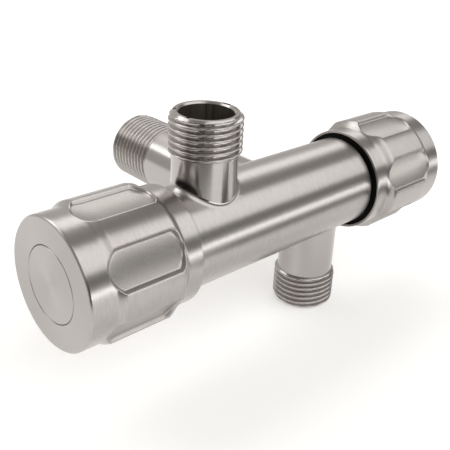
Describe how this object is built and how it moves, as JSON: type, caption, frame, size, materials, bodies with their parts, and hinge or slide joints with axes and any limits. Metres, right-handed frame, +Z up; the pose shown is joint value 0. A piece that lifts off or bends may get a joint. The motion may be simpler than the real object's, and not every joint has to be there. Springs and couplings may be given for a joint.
{
  "type": "double-handle angle valve",
  "caption": "Stainless wall angle valve: a horizontal tube with a scalloped quarter-turn knob on each end, a threaded inlet at the back and threaded outlets up and down.",
  "frame": {"origin": "on the inlet's axis at the middle of its full thread", "axes": "+X along the body from the front knob to the rear knob, +Y from the body out through the inlet towards the wall, +Z up through the upper outlet"},
  "size_m": [0.1478, 0.0875, 0.0775],
  "materials": {
    "brushed_stainless": "304 stainless, brushed round the axis",
    "spun_stainless": "304 stainless, spun face",
    "brass": "turned brass",
    "alumina": "lapped alumina",
    "black_rubber": "moulded nitrile rubber",
    "white_acetal": "moulded acetal",
    "spring_steel": "plain spring steel",
    "black_abs": "moulded black ABS"
  },
  "bodies": {
    "valve_body": {"valve_body": "brushed_stainless", "front_cartridge_housing": "brass", "rear_cartridge_housing": "brass", "front_housing_seal": "black_rubber", "rear_housing_seal": "black_rubber", "front_seat_seal": "black_rubber", "rear_seat_seal": "black_rubber", "front_fixed_disc": "alumina", "rear_fixed_disc": "alumina"},
    "front_knob": {"front_moving_disc": "alumina", "front_stem": "brass", "front_stem_o_rings": "black_rubber", "front_thrust_washer": "white_acetal", "front_circlip": "spring_steel", "front_knob_liner": "black_abs", "front_knob_shell": "brushed_stainless", "front_handle_screw": "spring_steel", "front_knob_cap": "spun_stainless"},
    "rear_knob": {"rear_moving_disc": "alumina", "rear_stem": "brass", "rear_stem_o_rings": "black_rubber", "rear_thrust_washer": "white_acetal", "rear_circlip": "spring_steel", "rear_knob_liner": "black_abs", "rear_knob_shell": "brushed_stainless", "rear_handle_screw": "spring_steel", "rear_knob_cap": "spun_stainless"}
  },
  "joints": [
    {"name": "front_knob_turn", "type": "hinge", "parent": "valve_body", "child": "front_knob", "pos_m": [-0.058, -0.05775, 0], "axis": [-1, 0, 0], "range_deg": [0, 90]},
    {"name": "rear_knob_turn", "type": "hinge", "parent": "valve_body", "child": "rear_knob", "pos_m": [0.054, -0.05775, 0], "axis": [1, 0, 0], "range_deg": [0, 90]}
  ]
}
